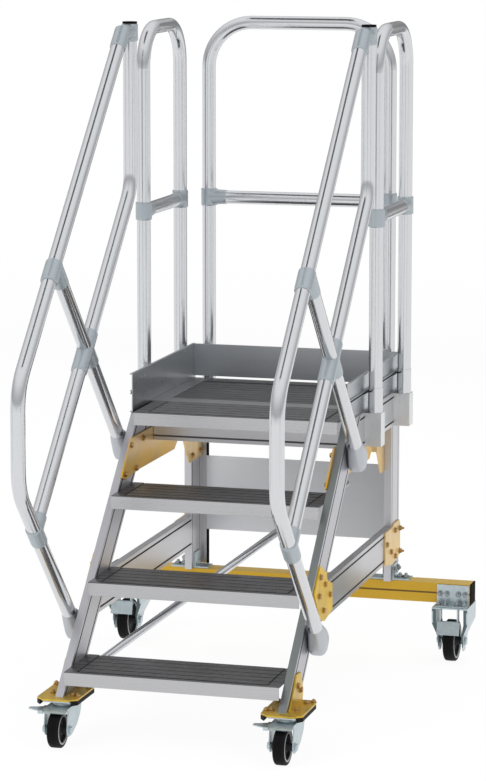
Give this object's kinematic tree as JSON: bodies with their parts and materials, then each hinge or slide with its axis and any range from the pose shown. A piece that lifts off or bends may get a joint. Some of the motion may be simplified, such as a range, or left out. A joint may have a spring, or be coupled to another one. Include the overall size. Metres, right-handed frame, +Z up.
{
  "type": "rolling warehouse ladder",
  "caption": "Mobile platform stair: sloped ribbed treads, tubular handrails, guard hoops round a railed platform, swivel and fixed casters with foot brakes.",
  "frame": {"origin": "middle of the bounding box on the ground", "axes": "+Z up, +Y from the foot of the stair towards the platform, +X to the right when climbing"},
  "size_m": [1.128, 1.5765, 1.914],
  "materials": {
    "profile_aluminium": "satin mill finish",
    "tread_aluminium": "ribbed mill finish",
    "sheet_aluminium": "smooth mill finish",
    "tube_aluminium": "bright anodised",
    "cast_fitting": "fine cast, matt",
    "socket_alloy": "satin",
    "gold_zinc": "yellow chromate zinc",
    "ochre_paint": "yellow anodised, satin",
    "bright_zinc": "blue zinc plate",
    "wheel_hub": "grey moulded",
    "tyre_rubber": "matt black rubber",
    "black_rubber": "matt",
    "black_plastic": "moulded"
  },
  "bodies": {
    "frame": {"deck_floor": "tread_aluminium", "deck_front_plank": "tread_aluminium", "diagonal_brace": "tube_aluminium", "foot_plates": "gold_zinc", "frame_brackets": "gold_zinc", "front_beam": "profile_aluminium", "front_caster_plates": "bright_zinc", "guard_hoop_left": "tube_aluminium", "guard_hoop_rear": "tube_aluminium", "guard_hoop_right": "tube_aluminium", "handrail_fittings": "cast_fitting", "handrail_left": "tube_aluminium", "handrail_right": "tube_aluminium", "handrail_struts": "tube_aluminium", "hex_bolts": "bright_zinc", "hoop_leg_clamps": "socket_alloy", "hoop_leg_sleeves": "tube_aluminium", "knee_rail_left": "tube_aluminium", "knee_rail_right": "tube_aluminium", "lower_rail_left": "profile_aluminium", "lower_rail_right": "profile_aluminium", "mid_rail_fittings": "cast_fitting", "mid_rails": "tube_aluminium", "plastic_end_caps": "black_plastic", "post_foot_angles": "bright_zinc", "rear_beam": "profile_aluminium", "rear_caster_brackets": "bright_zinc", "rear_caster_housings": "bright_zinc", "rear_panel": "sheet_aluminium", "rear_post_left": "profile_aluminium", "rear_post_right": "profile_aluminium", "rear_upright_strips": "profile_aluminium", "rubber_pads": "black_rubber", "side_rail_left": "profile_aluminium", "side_rail_right": "profile_aluminium", "stair_gussets": "gold_zinc", "stringer_left": "profile_aluminium", "stringer_right": "profile_aluminium", "stringer_sockets": "socket_alloy", "toe_board_left": "sheet_aluminium", "toe_board_rear": "sheet_aluminium", "toe_board_right": "sheet_aluminium", "traverse": "ochre_paint", "tread_1": "tread_aluminium", "tread_2": "tread_aluminium", "tread_3": "tread_aluminium"},
    "front_swivel_left": {"front_fork_left": "bright_zinc"},
    "front_pedal_body_left": {"front_pedal_left": "bright_zinc"},
    "front_wheel_left": {"front_tyre_left": "tyre_rubber", "front_rim_left": "wheel_hub"},
    "rear_wheel_left": {"rear_tyre_left": "tyre_rubber", "rear_rim_left": "wheel_hub"},
    "rear_brake_body_left": {"rear_brake_left": "bright_zinc"},
    "front_swivel_right": {"front_fork_right": "bright_zinc"},
    "front_pedal_body_right": {"front_pedal_right": "bright_zinc"},
    "front_wheel_right": {"front_tyre_right": "tyre_rubber", "front_rim_right": "wheel_hub"},
    "rear_wheel_right": {"rear_tyre_right": "tyre_rubber", "rear_rim_right": "wheel_hub"},
    "rear_brake_body_right": {"rear_brake_right": "bright_zinc"}
  },
  "joints": [
    {"name": "front_swivel_joint_left", "type": "hinge", "parent": "frame", "child": "front_swivel_left", "pos_m": [-0.31, -0.545, 0.118], "axis": [0, 0, 1], "continuous": true},
    {"name": "front_wheel_spin_left", "type": "hinge", "parent": "front_swivel_left", "child": "front_wheel_left", "pos_m": [-0.31, -0.587, 0.05], "axis": [1, 0, 0], "continuous": true},
    {"name": "front_pedal_hinge_left", "type": "hinge", "parent": "front_swivel_left", "child": "front_pedal_body_left", "pos_m": [-0.351, -0.5925, 0.103], "axis": [0, -1, 0], "range_deg": [0, 12]},
    {"name": "rear_wheel_spin_left", "type": "hinge", "parent": "frame", "child": "rear_wheel_left", "pos_m": [-0.509, 0.653, 0.0625], "axis": [1, 0, 0], "continuous": true},
    {"name": "rear_brake_hinge_left", "type": "hinge", "parent": "frame", "child": "rear_brake_body_left", "pos_m": [-0.509, 0.61, 0.122], "axis": [1, 0, 0], "range_deg": [0, 8]},
    {"name": "front_swivel_joint_right", "type": "hinge", "parent": "frame", "child": "front_swivel_right", "pos_m": [0.318, -0.545, 0.118], "axis": [0, 0, 1], "continuous": true},
    {"name": "front_wheel_spin_right", "type": "hinge", "parent": "front_swivel_right", "child": "front_wheel_right", "pos_m": [0.318, -0.587, 0.05], "axis": [1, 0, 0], "continuous": true},
    {"name": "front_pedal_hinge_right", "type": "hinge", "parent": "front_swivel_right", "child": "front_pedal_body_right", "pos_m": [0.277, -0.5925, 0.103], "axis": [0, -1, 0], "range_deg": [0, 12]},
    {"name": "rear_wheel_spin_right", "type": "hinge", "parent": "frame", "child": "rear_wheel_right", "pos_m": [0.509, 0.653, 0.0625], "axis": [1, 0, 0], "continuous": true},
    {"name": "rear_brake_hinge_right", "type": "hinge", "parent": "frame", "child": "rear_brake_body_right", "pos_m": [0.509, 0.61, 0.122], "axis": [1, 0, 0], "range_deg": [0, 8]}
  ]
}
